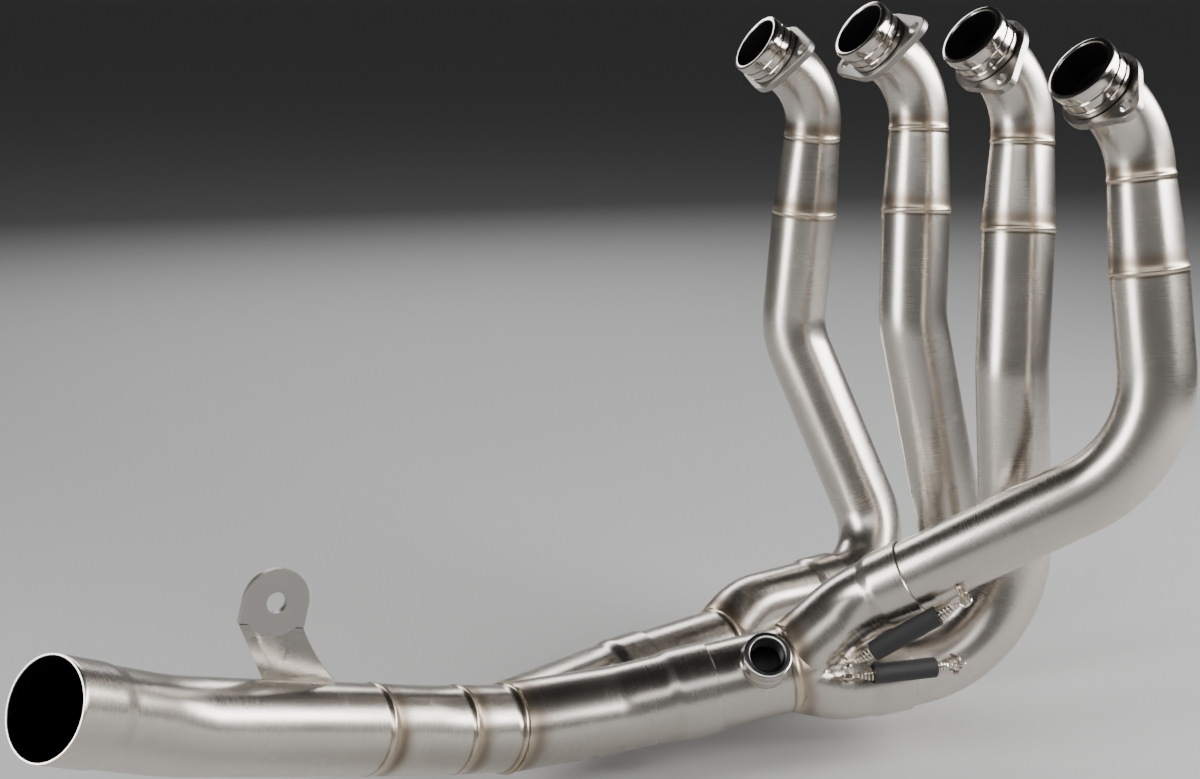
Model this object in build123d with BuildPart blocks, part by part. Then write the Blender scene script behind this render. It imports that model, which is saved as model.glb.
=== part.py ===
from build123d import *
from math import cos, radians, sin, tan
import os

os.makedirs("parts", exist_ok=True)

# A four-into-two-into-one motorcycle exhaust header, in millimetres.
# X points forward along the bike, Y to its left and Z up.
# The origin is the centre of the outlet mouth, where the silencer's link pipe goes in.

# Tube stock: outer diameters and one wall for every tube
wall = 1.2
bend_od = 32.5
pipe_od = 38.0
second_od = 44.5
outlet_od = 43.0
socket_od = 44.4
clearance = 0.3

# Exhaust ports: a row along Y at one pitch; each loose pipe lies a little differently in front of its port
port_pitch = 81.0
port_mid_y = 45.0
port_x = {1: 473.0, 2: 481.5, 3: 486.0, 4: 478.5}
port_z = {1: 241.0, 2: 251.5, 3: 251.0, 4: 238.5}
port_tilt = {1: 57.0, 2: 54.5, 3: 52.0, 4: 52.5}
port_yaw = {1: -11.0, 2: -8.5, 3: -5.0, 4: -6.5}

# Turned spigot collar, measured along the port axis from its mouth
spigot_lip_r = 17.8
spigot_lip_length = 5.0
spigot_groove_r = 16.9
spigot_groove_width = 2.0
spigot_ring_r = 17.5
spigot_ring_length = 4.8
spigot_shoulder_r = 18.0
spigot_shoulder_length = 3.8
spigot_chamfer = 0.8

# Loose two-bolt flange behind the collar, one swivel angle for each pipe as it lies
flange_thickness = 4.0
flange_gap = 0.5
flange_waist_r = 21.0
flange_ear_r = 7.0
flange_stud_spacing = 50.0
flange_stud_hole_d = 6.6
flange_swivel = {1: 170.0, 2: 154.5, 3: 217.0, 4: 202.0}

# Header tubes: corners of each centreline below the first bend
first_bend_radius = 42.0
first_corner = {1: 49.0, 2: 50.0, 3: 47.0, 4: 47.5}
cone_start = {1: 29.0, 2: 25.7, 3: 26.8, 4: 24.0}
cone_length = 45.0
header_corners = {
    1: [(506, 167, 67), (538, 104, -74), (423, 98, -74)],
    2: [(511, 66, 91), (542, 39, -95), (436, 80, -104)],
    3: [(506, -17, 81), (514, -24, -75), (414, 4, -85)],
    4: [(519, -109, 51), (420, 6, -43)],
}
header_radii = {1: [50, 38], 2: [60, 58], 3: [60, 62], 4: [68]}
leg_radius = {1: 40.0, 2: 45.0, 3: 45.0, 4: 45.0}

# Merges: the ring where two legs become one tube, and the corner after it
merge_ring = {"right": (385, 14, -73), "left": (396, 88, -89)}
second_corner = {"right": (300, 43, -86), "left": (308, 80, -91)}
merge_pairs = {"right": (4, 3), "left": (1, 2)}
merge_lean = {"right": (0, 0, 1), "left": (0, 0.6, 0.8)}
merge_offset = 2.5
merge_throat_length = 16.0
merge_throat_r = 16.5

# Slip joints: a swaged sleeve on the downstream tube, the upstream tube pushed into it
swage_length = 5.0
sleeve_length = 18.0
slip_gap = 1.0
leg_swage_start = {1: 42.0, 2: 14.0, 3: 12.0, 4: 15.0}
second_swage_start = {"right": 24.0, "left": 9.0}
second_sleeve_length = 20.0
second_radius = {"right": 60.0, "left": 50.0}

# Collector neck, outlet pipe and its end socket
neck = (236, 52, -85)
outlet_corners = [(192, 48, -74), (56, 24, -30)]
outlet_radii = [150, 110]
outlet_mouth = (0, 0, 0)
socket_length = 24.0
socket_swage = 6.0

# Threaded boss for an oxygen sensor, on the right merge just behind its ring
boss_od = 25.0
boss_bore_d = 16.4
boss_height = 9.0
boss_along = 15.5
boss_turn = 48.0

# Hanger bracket of folded sheet, welded on top of the outlet pipe
hanger_hole = (111, 31, 13)
hanger_hole_d = 9.6
hanger_sheet = 3.0
hanger_top_r = 15.5
hanger_pitch = 15.0
hanger_fold_below = 10.5
hanger_foot_forward = 42.0
hanger_foot_width = 48.0
hanger_foot_lean = 20.0
hanger_foot_depth = 46.0
hanger_waist_r = 160.0

# Wire hooks welded to the tubes for the retaining springs
wire_sides = 8
hook_wire_r = 1.1
hook_half = 4.2
spring_face = {"right": -1, "left": 1}
pipe_hook_beyond = {1: 7.0, 2: 7.0, 3: 22.0, 4: 22.0}
pipe_hook_turn = {1: 30.0, 2: -20.0, 3: -20.0, 4: 35.0}
pipe_hook_reach = {1: 8.0, 2: 10.0, 3: 8.0, 4: 6.0}
crotch_hook_along = {"right": 24.0, "left": 26.0}
crotch_hook_turn = {"right": 30.0, "left": 15.0}
crotch_hook_reach = {"right": 6.0, "left": 10.0}
second_hook_turn = {"right": 38.0, "left": 42.0}
second_hook_reach = {"right": 7.5, "left": 10.0}
second_hook_beyond = 7.0
second_hook_past = {"right": -8.0, "left": 22.0}

# Retaining springs and the rubber sleeves that stop them ringing
spring_wire_r = 0.9
spring_coil_r = 3.4
spring_eye_r = 3.0
spring_neck = 6.0
spring_neck_r = 1.6
spring_spread = {"right": 2.8, "left": 4.8}
sleeve_gap = 0.3
sleeve_wall = 1.6
sleeve_share = 0.56

# Lengths that follow from the sizes above
spigot_length = spigot_lip_length + spigot_groove_width + spigot_ring_length + spigot_shoulder_length
bend_r = bend_od / 2
pipe_r = pipe_od / 2
second_r = second_od / 2
outlet_r = outlet_od / 2
sleeve_bore_r = pipe_r + clearance
second_sleeve_bore_r = second_r + clearance
left_of_bike = Vector(0, 1, 0)
port_place = {1: 1.5, 2: 0.5, 3: -0.5, 4: -1.5}
leg_sign = {1: 1, 4: 1, 2: -1, 3: -1}
overrun = 4.0


def toward(start, end):
    """Unit vector from one point to another."""
    return (end - start).normalized()


def across(direction, axis):
    """The part of a direction that is square to an axis, as a unit vector."""
    return (direction - axis * direction.dot(axis)).normalized()


# Places shared by the pieces: port mouths, corners, slip joints and merge axes
port_axis, mouth, first, drop, cone_top, cone_end, corners, run = {}, {}, {}, {}, {}, {}, {}, {}
for k in header_corners:
    tilt, yaw = radians(port_tilt[k]), radians(port_yaw[k])
    port_axis[k] = Vector(sin(tilt) * cos(yaw), sin(tilt) * sin(yaw), -cos(tilt))
    mouth[k] = Vector(port_x[k], port_mid_y + port_place[k] * port_pitch, port_z[k])
    first[k] = mouth[k] + port_axis[k] * first_corner[k]
    corners[k] = [Vector(*c) for c in header_corners[k]]
    drop[k] = toward(first[k], corners[k][0])
    cone_top[k] = first[k] + drop[k] * cone_start[k]
    cone_end[k] = cone_top[k] + drop[k] * cone_length
    run[k] = toward(corners[k][-2], corners[k][-1])

ring, second, down_pipe, lean, side_way = {}, {}, {}, {}, {}
for side in merge_pairs:
    ring[side] = Vector(*merge_ring[side])
    second[side] = Vector(*second_corner[side])
    down_pipe[side] = toward(ring[side], second[side])
    lean[side] = across(Vector(*merge_lean[side]), down_pipe[side])
    side_way[side] = down_pipe[side].cross(lean[side])


def turned(start, axis, profile, mode=Mode.ADD):
    """Solid of revolution from (radius, distance along the axis) corners."""
    radial = across(Vector(0, 0, 1), axis)
    with BuildSketch(Plane(start, x_dir=radial, z_dir=radial.cross(axis))) as outline:
        with BuildLine():
            Polyline(*profile, close=True)
        make_face()
    revolve(outline.sketch, axis=Axis(start, axis), mode=mode)


def straight_bar(start, end, r, mode):
    """Round bar between two points."""
    length = (end - start).length
    turned(start, toward(start, end), [(0, 0), (r, 0), (r, length), (0, length)], mode)


def bent_bar(points, radii, r, mode):
    """Round bar through a list of corners, each bend turned about its own centre."""
    start = points[0]
    for corner, after, radius in zip(points[1:-1], points[2:], radii):
        way_in = toward(start, corner)
        way_out = toward(corner, after)
        angle = way_in.get_angle(way_out)
        setback = radius * tan(radians(angle) / 2)
        bend_start = corner - way_in * setback
        bend_axis = Axis(bend_start + across(way_out, way_in) * radius, way_in.cross(way_out))
        straight_bar(start, bend_start, r, mode)
        with BuildSketch(Plane(bend_start, z_dir=way_in)) as disc:
            Circle(r)
        revolve(disc.sketch, axis=bend_axis, revolution_arc=angle, mode=mode)
        start = corner + way_out * setback
    straight_bar(start, points[-1], r, mode)


def swaged_sleeve(start, axis, tube_r, bore_r, length, inside):
    """Outside or inside of a tube end swaged out into a slip sleeve."""
    small = tube_r - wall if inside else tube_r
    large = bore_r if inside else bore_r + wall
    end = swage_length + length
    corner_list = [(0, 0), (small, 0), (large, swage_length), (large, end), (0, end)]
    turned(start, axis, corner_list, Mode.SUBTRACT if inside else Mode.ADD)


# Header pipes: turned spigot collar, first bend, cone and long bent pipe, welded into one
groove_end = spigot_lip_length + spigot_groove_width
shoulder_start = groove_end + spigot_ring_length
collar_profile = [
    (bend_r - wall, 0),
    (spigot_lip_r - spigot_chamfer, 0),
    (spigot_lip_r, spigot_chamfer),
    (spigot_lip_r, spigot_lip_length),
    (spigot_groove_r, spigot_lip_length),
    (spigot_groove_r, groove_end),
    (spigot_ring_r, groove_end),
    (spigot_ring_r, shoulder_start),
    (spigot_shoulder_r, shoulder_start),
    (spigot_shoulder_r, spigot_length),
    (bend_r - wall, spigot_length),
]
for k in header_corners:
    collar_end = mouth[k] + port_axis[k] * spigot_length
    slip_end = corners[k][-1] - run[k] * (leg_swage_start[k] + swage_length + slip_gap)
    with BuildPart() as header:
        turned(mouth[k], port_axis[k], collar_profile)
        for skin, mode in ((0, Mode.ADD), (wall, Mode.SUBTRACT)):
            bent_bar([collar_end, first[k], cone_top[k]], [first_bend_radius], bend_r - skin, mode)
            cone = [(0, 0), (bend_r - skin, 0), (pipe_r - skin, cone_length), (0, cone_length)]
            turned(cone_top[k], drop[k], cone, mode)
            bent_bar([cone_end[k], *corners[k][:-1], slip_end], header_radii[k], pipe_r - skin, mode)
    header.part.label = f"header_pipe_{k}"
    export_step(header.part, f"parts/header_pipe_{k}.step")

# Loose flanges: two ears with stud holes, free to swivel on the tube behind the collar
for k in header_corners:
    seat = mouth[k] + port_axis[k] * (spigot_length + flange_gap)
    swivel = radians(flange_swivel[k])
    level = across(left_of_bike, port_axis[k])
    stud_way = level * cos(swivel) + port_axis[k].cross(level) * sin(swivel)
    with BuildPart() as flange:
        with BuildSketch(Plane(seat, x_dir=stud_way, z_dir=port_axis[k])):
            with BuildLine():
                CenterArc((0, 0), flange_waist_r, 0, 360)
                CenterArc((flange_stud_spacing / 2, 0), flange_ear_r, 0, 360)
                CenterArc((-flange_stud_spacing / 2, 0), flange_ear_r, 0, 360)
            make_hull()
            Circle(bend_r + clearance, mode=Mode.SUBTRACT)
            with GridLocations(flange_stud_spacing, 1, 2, 1):
                Circle(flange_stud_hole_d / 2, mode=Mode.SUBTRACT)
        extrude(amount=flange_thickness)
    flange.part.label = f"flange_{k}"
    export_step(flange.part, f"parts/flange_{k}.step")

# Merge pipes: two swaged legs brought together into one round tube
leg_end, leg_way = {}, {}
for side, pair in merge_pairs.items():
    tube_length = (second[side] - ring[side]).length - second_swage_start[side] - swage_length - slip_gap
    boss_centre = ring[side] + down_pipe[side] * boss_along
    boss_axis = lean[side] * cos(radians(boss_turn)) - side_way[side] * sin(radians(boss_turn))
    with BuildPart() as merge:
        for inside in (False, True):
            mode = Mode.SUBTRACT if inside else Mode.ADD
            skin = wall if inside else 0
            for k in pair:
                leg_end[k] = ring[side] + lean[side] * merge_offset * leg_sign[k]
                leg_way[k] = toward(corners[k][-1], leg_end[k])
                swage_at = corners[k][-1] - run[k] * leg_swage_start[k]
                past = leg_end[k] + leg_way[k] * overrun
                bent_bar([swage_at, corners[k][-1], past], [leg_radius[k]], pipe_r - skin, mode)
                swaged_sleeve(swage_at, -run[k], pipe_r, sleeve_bore_r, sleeve_length, inside)
            throat = [
                (0, 0), (second_r - skin, 0), (merge_throat_r - skin, merge_throat_length), (0, merge_throat_length)
            ]
            turned(ring[side], -down_pipe[side], throat, mode)
            if not inside:
                split(bisect_by=Plane(ring[side], z_dir=-down_pipe[side]), keep=Keep.TOP)
            tube = [(0, 0), (second_r - skin, 0), (second_r - skin, tube_length), (0, tube_length)]
            turned(ring[side], down_pipe[side], tube, mode)
        if side == "right":
            with Locations(Plane(boss_centre, z_dir=boss_axis)):
                Cylinder(
                    boss_bore_d / 2, second_r + boss_height,
                    align=(Align.CENTER, Align.CENTER, Align.MIN), mode=Mode.SUBTRACT,
                )
    merge.part.label = f"{side}_merge_pipe"
    export_step(merge.part, f"parts/{side}_merge_pipe.step")
    if side == "right":
        with BuildPart() as boss:
            with Locations(Plane(boss_centre, z_dir=boss_axis)):
                Cylinder(boss_od / 2, second_r + boss_height, align=(Align.CENTER, Align.CENTER, Align.MIN))
                Cylinder(
                    boss_bore_d / 2, second_r + boss_height,
                    align=(Align.CENTER, Align.CENTER, Align.MIN), mode=Mode.SUBTRACT,
                )
            turned(ring[side], down_pipe[side], [(0, 0), (second_r, 0), (second_r, tube_length), (0, tube_length)],
                   Mode.SUBTRACT)
        boss.part.label = "sensor_boss"
        export_step(boss.part, "parts/sensor_boss.step")

# Collector: two swaged legs that meet at the neck of the outlet pipe
neck_point = Vector(*neck)
outlet_bends = [Vector(*c) for c in outlet_corners]
outlet_end = Vector(*outlet_mouth)
neck_way = toward(neck_point, outlet_bends[0])
with BuildPart() as collector:
    for inside in (False, True):
        mode = Mode.SUBTRACT if inside else Mode.ADD
        skin = wall if inside else 0
        for side in merge_pairs:
            swage_at = second[side] - down_pipe[side] * second_swage_start[side]
            past = neck_point + toward(second[side], neck_point) * overrun
            bent_bar([swage_at, second[side], past], [second_radius[side]], second_r - skin, mode)
            swaged_sleeve(swage_at, -down_pipe[side], second_r, second_sleeve_bore_r, second_sleeve_length, inside)
        if not inside:
            split(bisect_by=Plane(neck_point, z_dir=-neck_way), keep=Keep.TOP)
collector.part.label = "collector"
export_step(collector.part, "parts/collector.step")

# Outlet pipe: from the collector's neck to the socket that takes the silencer's link pipe
outlet_way = toward(outlet_bends[-1], outlet_end)
socket_start = outlet_end - outlet_way * (socket_length + socket_swage)
socket_r = socket_od / 2
with BuildPart() as outlet:
    for skin, mode in ((0, Mode.ADD), (wall, Mode.SUBTRACT)):
        bent_bar([neck_point, *outlet_bends, socket_start], outlet_radii, outlet_r - skin, mode)
        socket = [
            (0, 0), (outlet_r - skin, 0), (socket_r - skin, socket_swage),
            (socket_r - skin, socket_swage + socket_length), (0, socket_swage + socket_length),
        ]
        turned(socket_start, outlet_way, socket, mode)
outlet.part.label = "outlet_pipe"
export_step(outlet.part, "parts/outlet_pipe.step")

# Hanger bracket: one folded sheet, its foot cut to sit on the outlet pipe
hole_point = Vector(*hanger_hole)
pitch = radians(hanger_pitch)
hanger_along = Vector(cos(pitch), 0, -sin(pitch))
hanger_up = Vector(sin(pitch), 0, cos(pitch))
fold_point = hole_point - hanger_up * hanger_fold_below
fold_lean = radians(hanger_foot_lean)
foot_face = -left_of_bike * cos(fold_lean) - hanger_up * sin(fold_lean)
with BuildPart() as hanger:
    with BuildSketch(Plane(hole_point, x_dir=hanger_along, z_dir=-left_of_bike)):
        Circle(hanger_top_r)
        Rectangle(2 * hanger_top_r, hanger_fold_below, align=(Align.CENTER, Align.MAX))
        Circle(hanger_hole_d / 2, mode=Mode.SUBTRACT)
    extrude(amount=hanger_sheet / 2, both=True)
    with BuildSketch(Plane(fold_point, x_dir=hanger_along, z_dir=foot_face)):
        with BuildLine():
            foot_front = (hanger_foot_forward + hanger_foot_width / 2, -hanger_foot_depth)
            foot_rear = (hanger_foot_forward - hanger_foot_width / 2, -hanger_foot_depth)
            RadiusArc((hanger_top_r, 0), foot_front, -hanger_waist_r)
            Polyline(foot_front, foot_rear, (-hanger_top_r, 0), (hanger_top_r, 0))
        make_face()
    extrude(amount=hanger_sheet / 2, both=True)
    bent_bar([neck_point, *outlet_bends, socket_start], outlet_radii, outlet_r, Mode.SUBTRACT)
hanger.part.label = "hanger_bracket"
export_step(hanger.part, "parts/hanger_bracket.step")


def wire_staple(points):
    """Bent wire hook with mitred corners."""
    with BuildLine() as route:
        Polyline(*points)
    with BuildSketch(Plane(points[0], z_dir=points[1] - points[0])) as disc:
        RegularPolygon(hook_wire_r, wire_sides)
    sweep(disc.sketch, path=route.wire(), transition=Transition.RIGHT)


def staple_on(point, axis, outward, r, reach):
    """Corners of a hook standing on a round tube, its bar square to the tube."""
    bar = axis.cross(outward) * hook_half
    low = outward * (r * r - hook_half * hook_half) ** 0.5
    high = outward * (r + reach)
    return [point + low - bar, point + high - bar, point + high + bar, point + low + bar]


def hook_bar(corner_list):
    """Middle and direction of the bar that a spring's eye goes over."""
    return (corner_list[1] + corner_list[2]) * 0.5, toward(corner_list[1], corner_list[2])


# Places of the hooks: one across each crotch, one on each header pipe, two at each second joint
hooks = {"collector": []}
spring_ends = {}
for side, pair in merge_pairs.items():
    out_way = side_way[side] * spring_face[side]
    turn = radians(crotch_hook_turn[side])
    feet = []
    for k in pair:
        stand = leg_end[k] - leg_way[k] * crotch_hook_along[side]
        outward = across(out_way * cos(turn) - lean[side] * leg_sign[k] * sin(turn), leg_way[k])
        feet.append(stand + outward * pipe_r)
    rise = out_way * crotch_hook_reach[side]
    crotch = [feet[0], feet[0] + rise, feet[1] + rise, feet[1]]
    crotch_middle, crotch_bar = hook_bar(crotch)
    for k in pair:
        hook_at = leg_swage_start[k] + swage_length + sleeve_length + pipe_hook_beyond[k]
        turn = radians(pipe_hook_turn[k])
        outward = across(out_way * cos(turn) - lean[side] * sin(turn), run[k])
        stand = corners[k][-1] - run[k] * hook_at
        pipe_staple = staple_on(stand, run[k], outward, pipe_r, pipe_hook_reach[k])
        hooks[f"header_pipe_{k}"] = [pipe_staple]
        start = crotch_middle - crotch_bar * spring_spread[side] * leg_sign[k]
        spring_ends[f"header_{k}"] = (start, crotch_bar, *hook_bar(pipe_staple))
    turn = radians(second_hook_turn[side])
    below = Vector(0, sin(turn), -cos(turn))
    hook_at = second_swage_start[side] + swage_length + second_sleeve_length + second_hook_beyond
    stand = second[side] - down_pipe[side] * hook_at
    reach = second_hook_reach[side]
    merge_staple = staple_on(stand, down_pipe[side], across(below, down_pipe[side]), second_r, reach)
    hook_way = toward(second[side], neck_point) if second_hook_past[side] > 0 else down_pipe[side]
    stand = second[side] + hook_way * second_hook_past[side]
    leg_staple = staple_on(stand, hook_way, across(below, hook_way), second_r, reach)
    hooks[f"{side}_merge_pipe"] = [crotch, merge_staple]
    hooks["collector"].append(leg_staple)
    spring_ends[f"{side}_merge"] = (*hook_bar(leg_staple), *hook_bar(merge_staple))

# Spring hooks: one set of bent wire staples for each tube that carries them
for tube_name, staples in hooks.items():
    with BuildPart() as hook_set:
        for corner_list in staples:
            wire_staple(corner_list)
    hook_set.part.label = f"{tube_name}_hooks"
    export_step(hook_set.part, f"parts/{tube_name}_hooks.step")

# Retaining springs: close-wound coil, drawn-in ends and an eye over each hook
for joint_name, (start, start_bar, end, end_bar) in spring_ends.items():
    pull = toward(start, end)
    length = (end - start).length
    with BuildPart() as spring:
        for eye, bar in ((start, start_bar), (end, end_bar)):
            with BuildSketch(Plane(eye, z_dir=across(bar, pull)).offset(-spring_wire_r)):
                RegularPolygon(spring_eye_r + spring_wire_r, wire_sides)
                RegularPolygon(spring_eye_r - spring_wire_r, wire_sides, mode=Mode.SUBTRACT)
            extrude(amount=2 * spring_wire_r)
        coil = [
            (0, spring_eye_r),
            (spring_neck_r, spring_eye_r),
            (spring_neck_r, spring_eye_r + spring_neck),
            (spring_coil_r, spring_eye_r + spring_neck),
            (spring_coil_r, length - spring_eye_r - spring_neck),
            (spring_neck_r, length - spring_eye_r - spring_neck),
            (spring_neck_r, length - spring_eye_r),
            (0, length - spring_eye_r),
        ]
        turned(start, pull, coil)
    spring.part.label = f"{joint_name}_spring"
    export_step(spring.part, f"parts/{joint_name}_spring.step")

# Rubber sleeves: a short length of hose over the middle of each coil
for joint_name, (start, start_bar, end, end_bar) in spring_ends.items():
    length = (end - start).length
    hose_length = length * sleeve_share
    hose_start = (length - hose_length) / 2
    inner_r = spring_coil_r + sleeve_gap
    outer_r = inner_r + sleeve_wall
    with BuildPart() as hose:
        hose_profile = [
            (inner_r, hose_start),
            (outer_r, hose_start),
            (outer_r, hose_start + hose_length),
            (inner_r, hose_start + hose_length),
        ]
        turned(start, toward(start, end), hose_profile)
    hose.part.label = f"{joint_name}_spring_sleeve"
    export_step(hose.part, f"parts/{joint_name}_spring_sleeve.step")
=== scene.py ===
import math

import bmesh
import bpy
import numpy as np
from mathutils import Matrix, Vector


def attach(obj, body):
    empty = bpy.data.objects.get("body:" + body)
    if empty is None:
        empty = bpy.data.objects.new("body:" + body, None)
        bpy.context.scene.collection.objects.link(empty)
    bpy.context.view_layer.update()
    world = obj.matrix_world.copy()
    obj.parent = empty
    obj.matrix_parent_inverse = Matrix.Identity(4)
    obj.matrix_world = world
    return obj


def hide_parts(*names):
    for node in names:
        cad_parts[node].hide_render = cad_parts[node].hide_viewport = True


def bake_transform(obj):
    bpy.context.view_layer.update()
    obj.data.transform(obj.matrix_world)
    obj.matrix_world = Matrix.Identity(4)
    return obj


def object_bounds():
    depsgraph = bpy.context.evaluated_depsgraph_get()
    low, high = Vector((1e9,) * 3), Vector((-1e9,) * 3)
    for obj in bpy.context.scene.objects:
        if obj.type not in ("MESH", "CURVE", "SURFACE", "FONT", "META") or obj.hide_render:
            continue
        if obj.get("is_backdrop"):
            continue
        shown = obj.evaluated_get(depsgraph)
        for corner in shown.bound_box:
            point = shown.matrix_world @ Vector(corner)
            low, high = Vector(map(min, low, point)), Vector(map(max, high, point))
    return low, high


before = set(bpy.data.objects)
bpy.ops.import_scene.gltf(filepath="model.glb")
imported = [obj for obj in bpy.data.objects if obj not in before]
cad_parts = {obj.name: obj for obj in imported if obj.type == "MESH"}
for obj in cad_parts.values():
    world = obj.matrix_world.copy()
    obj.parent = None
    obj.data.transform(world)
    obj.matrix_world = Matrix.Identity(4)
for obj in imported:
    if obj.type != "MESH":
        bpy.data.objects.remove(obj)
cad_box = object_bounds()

# Camera: a short tele lens behind and above the outlet, looking forward over the header's right side.
# Its place and turn are in metres and degrees in the part's own frame.
camera = bpy.data.objects.new("camera", bpy.data.cameras.new("camera"))
camera.data.sensor_width = 36.0
camera.data.lens = 54.0
camera.data.clip_end = 100.0
camera.location = (-0.1709, -0.6774, 0.2890)
camera.rotation_euler = (math.radians(76.5), 0.0, math.radians(-32.5))
bpy.context.scene.collection.objects.link(camera)
bpy.context.scene.camera = camera

# Studio: a pale floor in a grey room that is lighter towards the horizon. A softbox hangs high behind the
# camera, a tall panel stands to its left, a long strip to its right, and one light behind the header.
floor_half, floor_level = 40.0, -0.1245
floor_grey, floor_roughness = (0.57, 0.57, 0.565, 1), 0.8
horizon_grey, ceiling_grey = (0.60, 0.60, 0.60, 1), (0.035, 0.036, 0.038, 1)
ceiling_from, room_strength = 0.62, 0.36
floor_corners = [(x * floor_half, y * floor_half, floor_level) for x, y in ((-1, -1), (1, -1), (1, 1), (-1, 1))]
floor_mesh = bpy.data.meshes.new("floor")
floor_mesh.from_pydata(floor_corners, [], [(0, 1, 2, 3)])
floor = bpy.data.objects.new("floor", floor_mesh)
bpy.context.scene.collection.objects.link(floor)
floor_paint = bpy.data.materials.new("floor paint")
floor_paint.use_nodes = True
floor_shader = floor_paint.node_tree.nodes["Principled BSDF"]
floor_shader.inputs["Base Color"].default_value = floor_grey
floor_shader.inputs["Roughness"].default_value = floor_roughness
floor_mesh.materials.append(floor_paint)
floor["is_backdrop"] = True
room = bpy.data.worlds.new("room")
room.use_nodes = True
room_tree = room.node_tree
sky = room_tree.nodes.new("ShaderNodeTexCoord")
sky_height = room_tree.nodes.new("ShaderNodeSeparateXYZ")
sky_grey = room_tree.nodes.new("ShaderNodeValToRGB")
sky_grey.color_ramp.elements[0].color = horizon_grey
sky_grey.color_ramp.elements[1].position = ceiling_from
sky_grey.color_ramp.elements[1].color = ceiling_grey
room_tree.links.new(sky.outputs["Generated"], sky_height.inputs[0])
room_tree.links.new(sky_height.outputs["Z"], sky_grey.inputs["Fac"])
room_tree.links.new(sky_grey.outputs["Color"], room_tree.nodes["Background"].inputs["Color"])
room_tree.nodes["Background"].inputs["Strength"].default_value = room_strength
bpy.context.scene.world = room
# Each light: its place and aim, its width and height in metres, and its watts
for name, place, aim, size, power in (
    ("softbox", (-0.42, -0.90, 0.95), (0.15, 0.03, -0.05), (1.8, 0.36), 5.0),
    ("left panel", (-0.75, 0.20, 0.34), (0.5, 0.05, 0.12), (0.42, 0.98), 14.5),
    ("right strip", (1.15, -0.60, 0.50), (0.15, 0.03, -0.05), (1.5, 0.28), 20.0),
    ("back light", (0.9, 1.5, 0.9), (0.4, 0.05, 0.0), (1.4, 0.4), 11.0),
):
    lamp = bpy.data.lights.new(name, "AREA")
    lamp.shape = "RECTANGLE"
    lamp.size, lamp.size_y = size
    lamp.energy = power
    lamp_object = bpy.data.objects.new(name, lamp)
    lamp_object.location = place
    lamp_object.rotation_euler = (Vector(aim) - Vector(place)).to_track_quat("-Z", "Y").to_euler()
    bpy.context.scene.collection.objects.link(lamp_object)


# Header pipes: stainless tube, each a turned spigot collar, a tight first bend, a cone and a long bent pipe,
# butt-welded and left with straw-coloured heat tint. They slip into the merge pipes and are held by springs.
class Socket:
    """A shader socket that takes part in plain sums."""

    def __init__(self, tree, socket):
        self.tree = tree
        self.socket = socket

    def node(self, kind, output, inputs, **settings):
        """Any other node: inputs by name or number, a Socket to link or a plain value."""
        made = self.tree.nodes.new(kind)
        for key, value in settings.items():
            setattr(made, key, value)
        for key, value in inputs.items():
            if isinstance(value, Socket):
                self.tree.links.new(value.socket, made.inputs[key])
            else:
                made.inputs[key].default_value = value
        return Socket(self.tree, made.outputs[output])

    def sum_with(self, operation, first, second):
        return self.node("ShaderNodeMath", 0, {0: first, 1: second}, operation=operation)

    def __add__(self, other):
        return self.sum_with("ADD", self, other)

    __radd__ = __add__

    def __sub__(self, other):
        return self.sum_with("SUBTRACT", self, other)

    def __rsub__(self, other):
        return self.sum_with("SUBTRACT", other, self)

    def __mul__(self, other):
        return self.sum_with("MULTIPLY", self, other)

    __rmul__ = __mul__

    def __truediv__(self, other):
        return self.sum_with("DIVIDE", self, other)

    def __rtruediv__(self, other):
        return self.sum_with("DIVIDE", other, self)

    def __pow__(self, other):
        return self.sum_with("POWER", self, other)

    def __rpow__(self, other):
        return self.sum_with("POWER", other, self)


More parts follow.
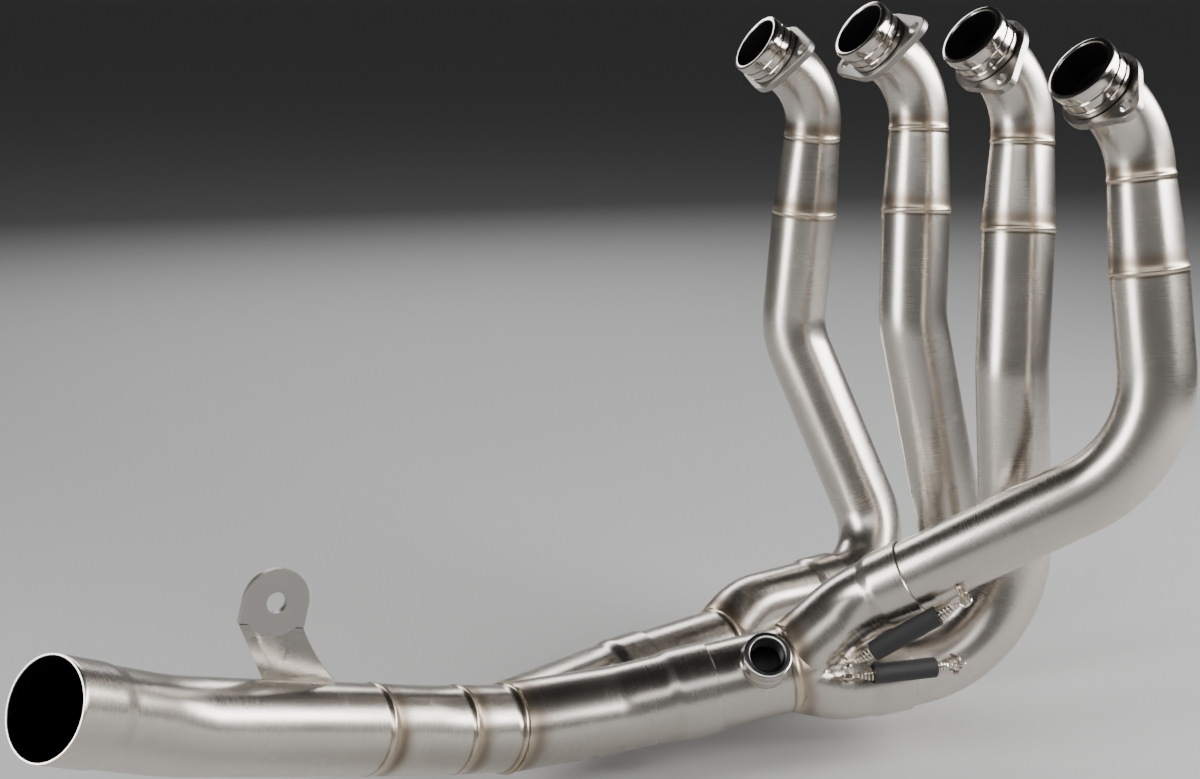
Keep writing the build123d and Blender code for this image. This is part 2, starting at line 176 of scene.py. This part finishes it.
def satin_steel(name, colour, roughness, tint, polished=-1.0, bore_shade=0.03):
    """Brushed stainless: fine lines round the tube and soft blotches, a brown smear before each weld, straw on
    its bead and a thin dark line past it, painted shade darkening the bores, and a polished stretch up to a
    given distance along.
    Each tint fades as exp(-(offset / width)^2), with both in millimetres from the weld."""
    brown_tint, straw_tint, dark_line_colour = (0.235, 0.180, 0.135, 1), (0.70, 0.56, 0.38, 1), (0.13, 0.095, 0.07, 1)
    # Painted shade: the bores get this dark colour to stand in for the shade inside the tubes
    painted_bore_shade = (bore_shade, bore_shade * 0.97, bore_shade * 0.95, 1)
    smear_before, smear_width, straw_width, dark_line_past, dark_line_width = 5.0, 5.0, 3.4, 2.3, 0.8
    polish, polish_edge = 0.14, 0.5
    lines_per_mm, line_scale, blotch_scale, patch_scale = 1.3, 9.0, 38.0, 150.0
    material = bpy.data.materials.new(name)
    material.use_nodes = True
    tree = material.node_tree
    shader = tree.nodes["Principled BSDF"]
    shader.inputs["Metallic"].default_value = 1.0
    seed = Socket(tree, shader.inputs["Base Color"])

    def attribute(label):
        return seed.node("ShaderNodeAttribute", "Fac", {}, attribute_name=label)

    def fading(offset, width):
        return math.e ** ((offset / width) ** 2.0 * -1.0)

    def mixed(share, under, over):
        return seed.node("ShaderNodeMix", 2, {0: share, 6: under, 7: over}, data_type="RGBA")

    place = seed.node("ShaderNodeTexCoord", "Object", {})
    along, weld, past, bore = (attribute(label) for label in ("along", "weld", "past", "bore"))
    nearest = seed.node("ShaderNodeMath", 0, {0: 0.0 - weld, 1: past}, operation="MINIMUM")
    lines = seed.node(
        "ShaderNodeTexNoise", "Fac",
        {"Vector": place, "W": along * lines_per_mm, "Scale": line_scale, "Detail": 3.0},
        noise_dimensions="4D",
    )
    blotch = seed.node("ShaderNodeTexNoise", "Fac", {"Vector": place, "Scale": blotch_scale, "Detail": 4.0})
    patch = seed.node("ShaderNodeTexNoise", "Fac", {"Vector": place, "Scale": patch_scale, "Detail": 3.0})
    smear = fading(weld + smear_before, smear_width) * (blotch * 1.1 + 0.35) * tint
    straw = fading(nearest, straw_width) * (patch * 0.9 + 0.4) * tint
    # A thin darker line just past each weld
    dark_line = fading(past - dark_line_past, dark_line_width) * (patch * 1.3 + 0.2) * tint
    shade = blotch * 0.14 + lines * 0.09 + 0.875
    red, green, blue = colour
    grey = seed.node("ShaderNodeCombineColor", 0, {0: shade * red, 1: shade * green, 2: shade * blue})
    tinted = mixed(straw * 0.55, mixed(smear * 0.95, grey, brown_tint), straw_tint)
    # Painted shade: the bore rows are mixed to the dark painted bore colour
    bore_shaded = mixed(bore, mixed(dark_line * 0.7, tinted, dark_line_colour), painted_bore_shade)
    tree.links.new(bore_shaded.socket, shader.inputs["Base Color"])
    polish_from, polish_to = polished - polish_edge, polished + polish_edge
    bright = seed.node("ShaderNodeMapRange", 0, {0: along, 1: polish_from, 2: polish_to, 3: polish, 4: 0.0})
    rough = lines * 0.06 + blotch * 0.10 + smear * 0.08 + bore * 0.2 + (roughness - 0.08) - bright
    tree.links.new(rough.socket, shader.inputs["Roughness"])
    bump = seed.node("ShaderNodeBump", 0, {"Height": lines, "Strength": 0.04, "Distance": 0.0002})
    tree.links.new(bump.socket, shader.inputs["Normal"])
    return material


def unit(vector):
    """The vector over its length."""
    return vector / np.linalg.norm(vector)


def line_length(line):
    """Sum of the lengths of a line's stretches."""
    return np.linalg.norm(np.diff(line, axis=0), axis=1).sum()


def bent_line(points, radii, step=1.0, arc_points=48):
    """Centreline of a bent tube, sampled every step millimetres. At each corner an arc about a middle m runs
    from start a to stop b as m + (a sin((1 - t) turn) + b sin(t turn)) / sin(turn), between straight runs."""
    points = np.asarray(points, float)
    stretches = [points[:1]]
    share = np.linspace(0, 1, arc_points)[:, None]
    for before, corner, after, radius in zip(points[:-2], points[1:-1], points[2:], radii):
        back, onward = unit(before - corner), unit(after - corner)
        half = math.acos(back @ onward) / 2
        middle = corner + unit(back + onward) * radius / math.sin(half)
        start = corner + back * radius / math.tan(half) - middle
        stop = corner + onward * radius / math.tan(half) - middle
        turn = math.pi - 2 * half
        arc = (np.sin((1 - share) * turn) * start + np.sin(share * turn) * stop) / math.sin(turn)
        stretches.append(middle + arc)
    line = np.vstack(stretches + [points[-1:]])
    length = np.r_[0, np.cumsum(np.linalg.norm(np.diff(line, axis=0), axis=1))]
    marks = np.linspace(0, length[-1], int(length[-1] / step) + 2)
    return np.stack([np.interp(marks, length, line[:, i]) for i in range(3)], 1)


def skin(name, line, profile, welds=(), sides=88, step=2.0, loop=True):
    """Round skin carried along a centreline. Profile rows are (distance along, radius) in millimetres;
    vertex = line(s) + r (cos a side + sin a other). A loop closes the wall of a tube on itself, and a solid bar
    gets two end caps. Attributes hold s, minus the way to the next weld, the way past the last one, and 1 on
    the bore, where the profile runs back."""
    far_off, runs_back, sharp_from = 999.0, -0.3, math.radians(35)
    rows = np.asarray(profile, float)
    counts = np.maximum(1, np.ceil(np.abs(np.diff(rows[:, 0])) / step)).astype(int)
    stretches = [np.linspace(a, b, n, endpoint=False) for a, b, n in zip(rows[:-1], rows[1:], counts)]
    rows = np.vstack(stretches + [rows[-1:]])
    count = len(rows)
    length = np.r_[0, np.cumsum(np.linalg.norm(np.diff(line, axis=0), axis=1))]
    tangent = np.gradient(line, length, axis=0)
    tangent /= np.linalg.norm(tangent, axis=1)[:, None]
    reference = np.linalg.svd(tangent)[2][-1]
    at = np.stack([np.interp(rows[:, 0], length, line[:, i]) for i in range(3)], 1)
    way = np.stack([np.interp(rows[:, 0], length, tangent[:, i]) for i in range(3)], 1)
    way /= np.linalg.norm(way, axis=1)[:, None]
    side = reference - way * (way @ reference)[:, None]
    side /= np.linalg.norm(side, axis=1)[:, None]
    other = np.cross(way, side)
    angle = np.linspace(0, 2 * np.pi, sides, endpoint=False)
    spoke = side[:, None] * np.cos(angle)[None, :, None] + other[:, None] * np.sin(angle)[None, :, None]
    points = at[:, None] + rows[:, 1][:, None, None] * spoke
    ring = np.arange(count if loop else count - 1)[:, None] * sides
    ring_on = (ring + sides) % (count * sides)
    spot = np.arange(sides)
    spot_on = (spot + 1) % sides
    faces = np.stack([ring + spot, ring + spot_on, ring_on + spot_on, ring_on + spot], -1)
    faces = faces.reshape(-1, 4).tolist()
    if not loop:
        faces += [spot[::-1].tolist(), (spot + (count - 1) * sides).tolist()]
    mesh = bpy.data.meshes.new(name)
    mesh.from_pydata((points.reshape(-1, 3) / 1000.0).tolist(), [], faces)
    mesh.shade_smooth()
    mesh.set_sharp_from_angle(angle=sharp_from)
    ahead = np.array([*welds, far_off]) - rows[:, :1]
    behind = rows[:, :1] - np.array([*welds, -far_off])
    to_weld = np.where(ahead >= 0, ahead, far_off).min(1)
    past_weld = np.where(behind >= 0, behind, far_off).min(1)
    bore = (np.gradient(rows[:, 0]) < runs_back).astype(float)
    for label, values in (("along", rows[:, 0]), ("weld", -to_weld), ("past", past_weld), ("bore", bore)):
        values = np.repeat(values, sides).astype(np.float32)
        mesh.attributes.new(label, "FLOAT", "POINT").data.foreach_set("value", values)
    made = bpy.data.objects.new(name, mesh)
    bpy.context.scene.collection.objects.link(made)
    return made


def bead(at, radius, width=3.2, height=0.5, points=7):
    """Profile rows of a low weld bead round a tube: radius + height sin(pi t) over its width."""
    share = np.linspace(0, 1, points)
    return [(at + width * (t - 0.5), radius + height * math.sin(math.pi * t)) for t in share]


# The collar bores get a lighter painted shade than the other tubes
header_steel = satin_steel("satin stainless header", (0.60, 0.556, 0.505), 0.265, 1.0, polished=15.6, bore_shade=0.16)
wall, bend_r, pipe_r = 1.2, 16.25, 19.0
cone_length = 45.0
mouths = {1: (473, 166.5, 241), 2: (481.5, 85.5, 251.5), 3: (486, 4.5, 251), 4: (478.5, -76.5, 238.5)}
port_tilt = {1: 57.0, 2: 54.5, 3: 52.0, 4: 52.5}
port_yaw = {1: -11.0, 2: -8.5, 3: -5.0, 4: -6.5}
first_corner = {1: 49.0, 2: 50.0, 3: 47.0, 4: 47.5}
cone_start = {1: 29.0, 2: 25.7, 3: 26.8, 4: 24.0}
bends = {
    1: [(506, 167, 67), (538, 104, -74), (423, 98, -74)],
    2: [(511, 66, 91), (542, 39, -95), (436, 80, -104)],
    3: [(506, -17, 81), (514, -24, -75), (414, 4, -85)],
    4: [(519, -109, 51), (420, 6, -43)],
}
bends = {k: np.array(corners, float) for k, corners in bends.items()}
bend_radii = {1: [42, 50, 38], 2: [42, 60, 58], 3: [42, 60, 62], 4: [42, 68]}
slip_back = {1: 48.0, 2: 20.0, 3: 18.0, 4: 21.0}
# The collar's rows run from its bore over the mouth, lip, groove, ring and shoulder to the bare tube behind it
collar_rows = [
    (2.0, 15.05), (0.5, 15.1), (0, 15.5), (0, 17.0), (0.25, 17.55), (0.8, 17.8), (4.6, 17.8), (5.0, 17.4),
    (5.0, 16.9), (7.0, 16.9), (7.0, 17.1), (7.4, 17.5), (11.3, 17.5), (11.6, 17.2), (11.6, 16.9), (12.0, 16.9),
    (12.0, 17.7), (12.3, 18.0), (15.2, 18.0), (15.6, 17.6), (15.6, bend_r), (19, bend_r),
]
runs = {}
for k, corners in bends.items():
    mouth = np.array(mouths[k], float)
    tilt, yaw = math.radians(port_tilt[k]), math.radians(port_yaw[k])
    port_axis = np.array([math.sin(tilt) * math.cos(yaw), math.sin(tilt) * math.sin(yaw), -math.cos(tilt)])
    first = mouth + port_axis * first_corner[k]
    runs[k] = unit(corners[-1] - corners[-2])
    slip_end = corners[-1] - runs[k] * slip_back[k]
    line = bent_line([mouth, first, *corners[:-1], slip_end], bend_radii[k])
    total = line_length(line)
    cone_at = first + unit(corners[0] - first) * cone_start[k]
    weld_1 = line_length(line[: np.argmin(np.linalg.norm(line - cone_at, axis=1)) + 1])
    weld_2 = weld_1 + cone_length
    profile = [
        (total, pipe_r - wall), (weld_2, pipe_r - wall), (weld_1, bend_r - wall), *collar_rows,
        *bead(weld_1, bend_r), (weld_1 + 4, bend_r + 0.25), *bead(weld_2, pipe_r), (weld_2 + 4, pipe_r),
        (total, pipe_r),
    ]
    pipe = skin(f"bent_header_{k}", line, profile, welds=(weld_1, weld_2))
    pipe.data.materials.append(header_steel)
    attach(pipe, f"header_{k}")
    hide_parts(f"header_pipe_{k}")

# Merge pipes: two legs swaged out into slip sleeves, pressed together and welded to one round tube.
# Stainless, brushed, with heat tint at the ring weld; each slides on the collector behind it.
tube_steel = satin_steel("satin stainless tube", (0.60, 0.556, 0.505), 0.265, 1.0)
swage_length, sleeve_length, slip_fit = 5.0, 18.0, 0.3
leg_swage = {1: 42.0, 2: 14.0, 3: 12.0, 4: 15.0}
leg_radius = {1: 40.0, 2: 45.0, 3: 45.0, 4: 45.0}
leg_offset, leg_overrun = 2.5, 14.0
rings = {"right": np.array([385.0, 14, -73]), "left": np.array([396.0, 88, -89])}
seconds = {"right": np.array([300.0, 43, -86]), "left": np.array([308.0, 80, -91])}
leans = {"right": np.array([0.0, 0, 1]), "left": np.array([0.0, 0.6, 0.8])}
second_r, second_swage = 22.25, {"right": 24.0, "left": 9.0}
slip_gap = 1.0
throat, throat_r, ring_weld = 16.0, 16.5, 16.5
pairs = {"right": (4, 3), "left": (1, 2)}
down, lean_way, leg_end, leg_way = {}, {}, {}, {}


def square_to(direction, axis):
    """The part of a direction square to an axis, as a unit vector."""
    return unit(direction - axis * (direction @ axis))


def swaged_rows(total, sleeve, radius):
    """Profile rows of a tube whose mouth is swaged out into a slip sleeve: rounded lips, then a soft step."""
    inner, outer, swage_end = radius + slip_fit, radius + slip_fit + wall, sleeve + swage_length
    return [
        (total, radius - wall), (swage_end, radius - wall), (sleeve, inner), (0.4, inner),
        (0, inner + 0.4), (0, outer - 0.4), (0.4, outer), (sleeve - 0.6, outer), (sleeve + 0.4, outer - 0.15),
        (swage_end - 0.6, radius + 0.15), (swage_end + 0.4, radius), (total, radius),
    ]


def cut_leg(leg, point, plane_way, along_leg):
    """Slides what lies past a plane back along the leg onto it: v - way max(0, (v - point) n) / (way n).
    The weld attribute then holds how far the rest lies before that plane."""
    spots = np.empty(len(leg.data.vertices) * 3)
    leg.data.vertices.foreach_get("co", spots)
    spots = spots.reshape(-1, 3) * 1000
    past = np.maximum(0, (spots - point) @ plane_way) / (along_leg @ plane_way)
    spots -= past[:, None] * along_leg
    leg.data.vertices.foreach_set("co", (spots / 1000).ravel())
    before = np.minimum(0, (spots - point) @ plane_way)
    leg.data.attributes["weld"].data.foreach_set("value", before.astype(np.float32))


for side, pair in pairs.items():
    down[side] = unit(seconds[side] - rings[side])
    lean_way[side] = square_to(leans[side], down[side])
    legs = []
    for k, sign in zip(pair, (1, -1)):
        corner = bends[k][-1]
        leg_end[k] = rings[side] + lean_way[side] * leg_offset * sign
        leg_way[k] = unit(leg_end[k] - corner)
        mouth = corner - runs[k] * (leg_swage[k] + swage_length + sleeve_length)
        line = bent_line([mouth, corner, leg_end[k] + leg_way[k] * leg_overrun], [leg_radius[k]])
        leg = skin(f"{side}_leg_{k}", line, swaged_rows(line_length(line), sleeve_length, pipe_r))
        cut_leg(leg, rings[side], down[side], leg_way[k])
        leg.data.materials.append(tube_steel)
        legs.append(leg)
    tube_end = np.linalg.norm(seconds[side] - rings[side]) - second_swage[side] - swage_length - slip_gap
    line = bent_line([rings[side] - down[side] * throat, rings[side] + down[side] * tube_end], [])
    profile = [
        (throat + tube_end, second_r - wall), (throat, second_r - wall), (0, throat_r - wall), (0, throat_r),
        (13.5, 21.3), *bead(ring_weld, 22.3, 4.4, 0.7), (20, second_r), (throat + tube_end, second_r),
    ]
    tube = skin(f"{side}_merge_tube", line, profile, welds=(ring_weld,))
    tube.data.materials.append(tube_steel)
    for piece in (*legs, tube):
        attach(piece, f"{side}_merge")
    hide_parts(f"{side}_merge_pipe")

# Collector: two legs with slip sleeves on the merge pipes, brought together at the neck.
# The same brushed stainless; it carries the outlet pipe and the hanger and stays still.
neck = np.array([236.0, 52, -85])
outlet_corners = [np.array([192.0, 48, -74]), np.array([56.0, 24, -30])]
neck_way = unit(outlet_corners[0] - neck)
neck_overrun = 16.0
second_sleeve = 20.0
second_radius = {"right": 60.0, "left": 50.0}
second_way = {}
for side in pairs:
    mouth = seconds[side] - down[side] * (second_swage[side] + swage_length + second_sleeve)
    second_way[side] = unit(neck - seconds[side])
    line = bent_line([mouth, seconds[side], neck + second_way[side] * neck_overrun], [second_radius[side]])
    leg = skin(f"collector_leg_{side}", line, swaged_rows(line_length(line), second_sleeve, second_r))
    cut_leg(leg, neck, neck_way, second_way[side])
    leg.data.materials.append(tube_steel)
    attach(leg, "collector")
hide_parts("collector")

# Outlet pipe: one stainless tube from the neck to an expanded socket for the silencer's link pipe.
# Two more ring welds cross it behind the neck; the open end shows a thin bright lip and an inside darkened with
# painted shade.
outlet_r, socket_r, socket_length = 21.5, 22.2, 24.0
outlet_radii, outlet_mouth, neck_lap = [150, 110], (0, 0, 0), 6.0
neck_weld, weld_2, weld_3 = 6.5, 36.0, 87.5
line = bent_line([neck - neck_way * neck_lap, *outlet_corners, outlet_mouth], outlet_radii)
total = line_length(line)
socket_at = total - socket_length
profile = [
    (0, 19.5), *bead(neck_weld, 22.1, 4.0, 0.6), (10, outlet_r + 0.05), *bead(weld_2, outlet_r),
    *bead(weld_3, outlet_r), (socket_at - 6, outlet_r), (socket_at - 5, 21.6), (socket_at - 1, 22.1),
    (socket_at, socket_r), (total - 0.4, socket_r), (total, 21.95), (total, 21.3),
    (total - 0.4, socket_r - wall), (socket_at, socket_r - wall), (socket_at - 6, outlet_r - wall),
    (10, outlet_r - wall), (0, 18.3),
]
outlet = skin("outlet_tube", line, profile, welds=(neck_weld, weld_2, weld_3))
outlet.data.materials.append(tube_steel)
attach(outlet, "collector")
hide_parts("outlet_pipe")

# Oxygen-sensor boss: a turned ring welded over a hole in the right merge tube, open and threaded inside.
# Bright steel with a bore darkened by painted shade and a tinted fillet of weld round its foot; the tube under
# it is darkened inside its bore by the same painted shade.
boss_steel = satin_steel("turned stainless", (0.66, 0.645, 0.62), 0.2, 0.6)
boss_along, boss_turn, boss_top = 15.5, math.radians(48), 31.25
boss_r, boss_bore_r, boss_weld = 12.5, 8.2, 20.0
thread_top, thread_step, thread_depth = 29.6, 0.375, 0.55
bore_shade_r = 10.5
boss_at = rings["right"] + down["right"] * boss_along
boss_side = np.cross(down["right"], lean_way["right"])
boss_way = lean_way["right"] * math.cos(boss_turn) - boss_side * math.sin(boss_turn)
line = bent_line([boss_at, boss_at + boss_way * boss_top], [])
turns = np.arange(boss_weld, thread_top, thread_step)
thread = [(float(s), boss_bore_r + (thread_depth if i % 2 else 0.0)) for i, s in enumerate(turns)][::-1]
profile = [
    (18.5, 13.6), (20.5, 13.4), (23.0, 13.0), (24.2, boss_r), (30.3, boss_r), (30.95, 12.3), (boss_top, 11.7),
    (boss_top, 9.6), (31.0, 9.2), (29.8, 8.3), *thread, (4, boss_bore_r),
]
boss = skin("turned_boss", line, profile, welds=(boss_weld,), sides=64, step=1.0)
boss.data.materials.append(boss_steel)
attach(boss, "right_merge")
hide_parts("sensor_boss")
# Painted shade: the tube's wall under the boss, seen through its bore, is flagged as bore and takes the dark
# painted colour
pierced = bpy.data.objects["right_merge_tube"].data
spots = np.empty(len(pierced.vertices) * 3)
pierced.vertices.foreach_get("co", spots)
off = spots.reshape(-1, 3) * 1000 - boss_at
height = off @ boss_way
inside = (np.linalg.norm(off - height[:, None] * boss_way, axis=1) < bore_shade_r) & (height > 0)
dark = np.empty(len(inside), np.float32)
pierced.attributes["bore"].data.foreach_get("value", dark)
pierced.attributes["bore"].data.foreach_set("value", np.maximum(dark, inside).astype(np.float32))

# Loose flanges: two-eared laser-cut stainless plates that clamp the collars to the cylinder head.
# Each hangs free on its pipe behind the collar and can be turned to meet its studs.
# Painted shade: the plates get a darker colour than the tubes' steel because they face away from the lights
flange_steel = satin_steel("flange plate", (0.40, 0.38, 0.355), 0.42, 0.0)
flange_edge = 0.0005


def broken_edges(node, name, grain, width):
    """A merged copy of a CAD plate with its sharp edges broken; the grain runs square to a given direction."""
    same_spot, same_plane = 0.00001, math.radians(0.5)
    sharp_from, broken_from = math.radians(30), math.radians(50)
    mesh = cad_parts[node].data.copy()
    mesh.transform(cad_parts[node].matrix_world)
    work = bmesh.new()
    work.from_mesh(mesh)
    bmesh.ops.remove_doubles(work, verts=work.verts, dist=same_spot)
    bmesh.ops.dissolve_limit(work, angle_limit=same_plane, verts=work.verts, edges=work.edges)
    work.to_mesh(mesh)
    work.free()
    mesh.name = name
    mesh.shade_smooth()
    mesh.set_sharp_from_angle(angle=sharp_from)
    spots = np.empty(len(mesh.vertices) * 3)
    mesh.vertices.foreach_get("co", spots)
    across = spots.reshape(-1, 3) @ np.asarray(grain, float) * 1000
    mesh.attributes.new("along", "FLOAT", "POINT").data.foreach_set("value", across.astype(np.float32))
    made = bpy.data.objects.new(name, mesh)
    bpy.context.scene.collection.objects.link(made)
    edge = made.modifiers.new("broken edge", "BEVEL")
    edge.width = width
    edge.segments = 2
    edge.limit_method = "ANGLE"
    edge.angle_limit = broken_from
    edge.harden_normals = True
    return made


for k in bends:
    flange = broken_edges(f"flange_{k}", f"cut_flange_{k}", (0, 1, 0), flange_edge)
    flange.data.materials.clear()
    flange.data.materials.append(flange_steel)
    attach(flange, f"flange_{k}")
    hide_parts(f"flange_{k}")

# Hanger bracket: one folded stainless plate with a bolt hole, welded by its foot to the top of the outlet pipe.
# The header hangs from it on the frame.
bracket_steel = satin_steel("folded sheet", (0.40, 0.382, 0.358), 0.42, 0.0)
bracket_edge = 0.0004
bracket = broken_edges("hanger_bracket", "folded_bracket", (0, 0, 1), bracket_edge)
bracket.data.materials.clear()
bracket.data.materials.append(bracket_steel)
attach(bracket, "collector")
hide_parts("hanger_bracket")

# Spring hooks: bent stainless wire, welded by both feet to the tubes.
# The eyes of the springs go over their bars; the welds leave a brown tint.
wire_steel = satin_steel("bright wire", (0.66, 0.61, 0.53), 0.24, 0.8)
hook_wire_r, hook_foot_r, hook_bend, hook_half, hook_step = 1.1, 1.9, 2.4, 4.2, 0.4
spring_face = {"right": -1, "left": 1}
# Each hook: how far back from the corner or the ring, its turn round the tube in degrees, and its reach
pipe_hook = {1: (72.0, 30.0, 8.0), 2: (44.0, -20.0, 10.0), 3: (57.0, -20.0, 8.0), 4: (60.0, 35.0, 6.0)}
crotch_hook = {"right": (24.0, 30.0, 6.0), "left": (26.0, 15.0, 10.0)}
eye_apart = {"right": 2.8, "left": 4.8}
second_hook_from = {"right": 56.0, "left": 41.0}
second_hook_past = {"right": -8.0, "left": 22.0}
second_hook_turn = {"right": 38.0, "left": 42.0}
second_hook_reach = {"right": 7.5, "left": 10.0}


def staple_on(point, axis, outward, radius, reach):
    """Corners of a wire hook standing on a round tube: its feet on the tube, its bar across the axis."""
    bar = np.cross(axis, outward) * hook_half
    low = outward * math.sqrt(radius**2 - hook_half**2)
    high = outward * (radius + reach)
    return np.array([point + low - bar, point + high - bar, point + high + bar, point + low + bar])


staples, spring_ends = [], {}
for side, pair in pairs.items():
    out_way = np.cross(down[side], lean_way[side]) * spring_face[side]
    back, turn, reach = crotch_hook[side]
    turn = math.radians(turn)
    feet = []
    for k, sign in zip(pair, (1, -1)):
        outward = square_to(out_way * math.cos(turn) - lean_way[side] * sign * math.sin(turn), leg_way[k])
        feet.append(leg_end[k] - leg_way[k] * back + outward * pipe_r)
    crotch = np.array([feet[0], feet[0] + out_way * reach, feet[1] + out_way * reach, feet[1]])
    staples.append((f"{side}_merge", f"{side}_merge_pipe_hooks", crotch))
    bar = unit(crotch[2] - crotch[1])
    for k, sign in zip(pair, (1, -1)):
        back, turn, reach = pipe_hook[k]
        turn = math.radians(turn)
        outward = square_to(out_way * math.cos(turn) - lean_way[side] * math.sin(turn), runs[k])
        hook = staple_on(bends[k][-1] - runs[k] * back, runs[k], outward, pipe_r, reach)
        staples.append((f"header_{k}", f"header_pipe_{k}_hooks", hook))
        start = crotch[1:3].mean(0) - bar * eye_apart[side] * sign
        spring_ends[f"header_{k}"] = (
            f"{side}_merge", f"header_{k}", start, bar, hook[1:3].mean(0), hook[2] - hook[1]
        )
    turn = math.radians(second_hook_turn[side])
    below = np.array([0, math.sin(turn), -math.cos(turn)])
    reach, past = second_hook_reach[side], second_hook_past[side]
    front_at = seconds[side] - down[side] * second_hook_from[side]
    front = staple_on(front_at, down[side], square_to(below, down[side]), second_r, reach)
    rear_way = second_way[side] if past > 0 else down[side]
    rear = staple_on(seconds[side] + rear_way * past, rear_way, square_to(below, rear_way), second_r, reach)
    staples.append((f"{side}_merge", f"{side}_merge_pipe_hooks", front))
    staples.append(("collector", "collector_hooks", rear))
    spring_ends[f"{side}_merge"] = (
        "collector", f"{side}_merge", rear[1:3].mean(0), rear[2] - rear[1],
        front[1:3].mean(0), front[2] - front[1],
    )
for number, (body, node, corners) in enumerate(staples):
    line = bent_line(corners, [hook_bend, hook_bend], hook_step)
    total = line_length(line)
    profile = [
        (0, hook_foot_r), (0.8, 1.35), (1.6, hook_wire_r), (total - 1.6, hook_wire_r), (total - 0.8, 1.35),
        (total, hook_foot_r),
    ]
    hook = skin(f"wire_hook_{number}", line, profile, welds=(0, total), sides=14, step=hook_step, loop=False)
    hook.data.materials.append(wire_steel)
    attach(hook, body)
    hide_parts(node)

# Retaining springs: close-wound steel wire with drawn-in ends and an eye over each hook.
# They pull the slip joints together; a short black rubber hose over each coil stops it ringing.
spring_wire_r, coil_pitch, coil_turn_points = 0.9, 1.9, 16
coil_r, coil_end_r, coil_inset, coil_draw = 2.6, 0.6, 5.0, 7.0
eye_r, eye_turn, eye_neck, eye_tail, eye_points = 3.0, 1.8 * math.pi, 4.5, 8.0, 40
hose_share, hose_r, hose_bore_r, hose_points = 0.56, 5.3, 3.7, 40
dust_scale, rib_scale, ribs_per_mm = 260.0, 40.0, 1.8
rubber = bpy.data.materials.new("black rubber hose")
rubber.use_nodes = True
rubber_shader = rubber.node_tree.nodes["Principled BSDF"]
rubber_seed = Socket(rubber.node_tree, rubber_shader.inputs["Base Color"])
place = rubber_seed.node("ShaderNodeTexCoord", "Object", {})
along = rubber_seed.node("ShaderNodeAttribute", "Fac", {}, attribute_name="along")
dust = rubber_seed.node("ShaderNodeTexNoise", "Fac", {"Vector": place, "Scale": dust_scale, "Detail": 4.0})
ribs = rubber_seed.node(
    "ShaderNodeTexNoise", "Fac", {"Vector": place, "W": along * ribs_per_mm, "Scale": rib_scale, "Detail": 2.0},
    noise_dimensions="4D",
)
tone = dust * 0.022 + 0.006
black = rubber_seed.node("ShaderNodeCombineColor", 0, {0: tone, 1: tone, 2: tone * 1.04})
rubber.node_tree.links.new(black.socket, rubber_shader.inputs["Base Color"])
rubber.node_tree.links.new((dust * 0.3 + 0.42).socket, rubber_shader.inputs["Roughness"])
grip = rubber_seed.node("ShaderNodeBump", 0, {"Height": ribs, "Strength": 0.35, "Distance": 0.0005})
rubber.node_tree.links.new(grip.socket, rubber_shader.inputs["Normal"])
for name, (body_a, body_b, start, bar_a, end, bar_b) in spring_ends.items():
    length = np.linalg.norm(end - start)
    pull = unit(end - start)
    # An eye: a straight tail along the pull, then most of a circle round the hook's bar
    turn = np.linspace(0, eye_turn, eye_points)[:, None]
    eyes = (("rear", body_a, start, bar_a, pull), ("front", body_b, end, bar_b, -pull))
    for label, body, eye, bar, way in eyes:
        round_bar = eye + eye_r * (np.cos(turn) * way + np.sin(turn) * np.cross(square_to(bar, pull), way))
        eye_line = np.vstack([eye + way * eye_tail, eye + way * eye_neck, round_bar])
        rows = [(0, spring_wire_r), (line_length(eye_line), spring_wire_r)]
        ring = skin(f"{name}_{label}_eye", eye_line, rows, sides=10, step=0.5, loop=False)
        ring.data.materials.append(wire_steel)
        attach(ring, body)
    # The coil: a helix at s along the pull, of full radius but for the drawn-in stretch at either end
    wound = length - 2 * coil_inset
    mark = np.linspace(coil_inset, length - coil_inset, int(wound / coil_pitch * coil_turn_points))
    inset = np.minimum(mark - coil_inset, length - coil_inset - mark)
    swing = (coil_end_r + (coil_r - coil_end_r) * np.clip(inset / coil_draw, 0, 1))[:, None]
    side_a = square_to(bar_a, pull)
    side_b = np.cross(pull, side_a)
    turn = (2 * math.pi * mark / coil_pitch)[:, None]
    coil_line = start + pull * mark[:, None] + swing * (np.cos(turn) * side_a + np.sin(turn) * side_b)
    rows = [(0, spring_wire_r), (line_length(coil_line), spring_wire_r)]
    coil = skin(f"{name}_coil", coil_line, rows, sides=8, step=1.0, loop=False)
    coil.data.materials.append(wire_steel)
    start / 1000
    end / 1000
    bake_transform(coil)
    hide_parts(f"{name}_spring")
    hose_length = length * hose_share
    hose_from = (length - hose_length) / 2
    line = start + pull * np.linspace(hose_from, hose_from + hose_length, hose_points)[:, None]
    profile = [
        (3, hose_bore_r), (0.5, hose_bore_r), (0, 4.1), (0, 4.8), (0.5, hose_r),
        (hose_length - 0.5, hose_r), (hose_length, 4.8), (hose_length, 4.1),
        (hose_length - 0.5, hose_bore_r), (hose_length - 3, hose_bore_r),
    ]
    hose = skin(f"{name}_hose", line, profile, sides=32)
    hose.data.materials.append(rubber)
    start / 1000
    end / 1000
    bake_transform(hose)
    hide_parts(f"{name}_spring_sleeve")

size = {"cad": [list(c) for c in cad_box], "visual": [list(c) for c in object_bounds()]}
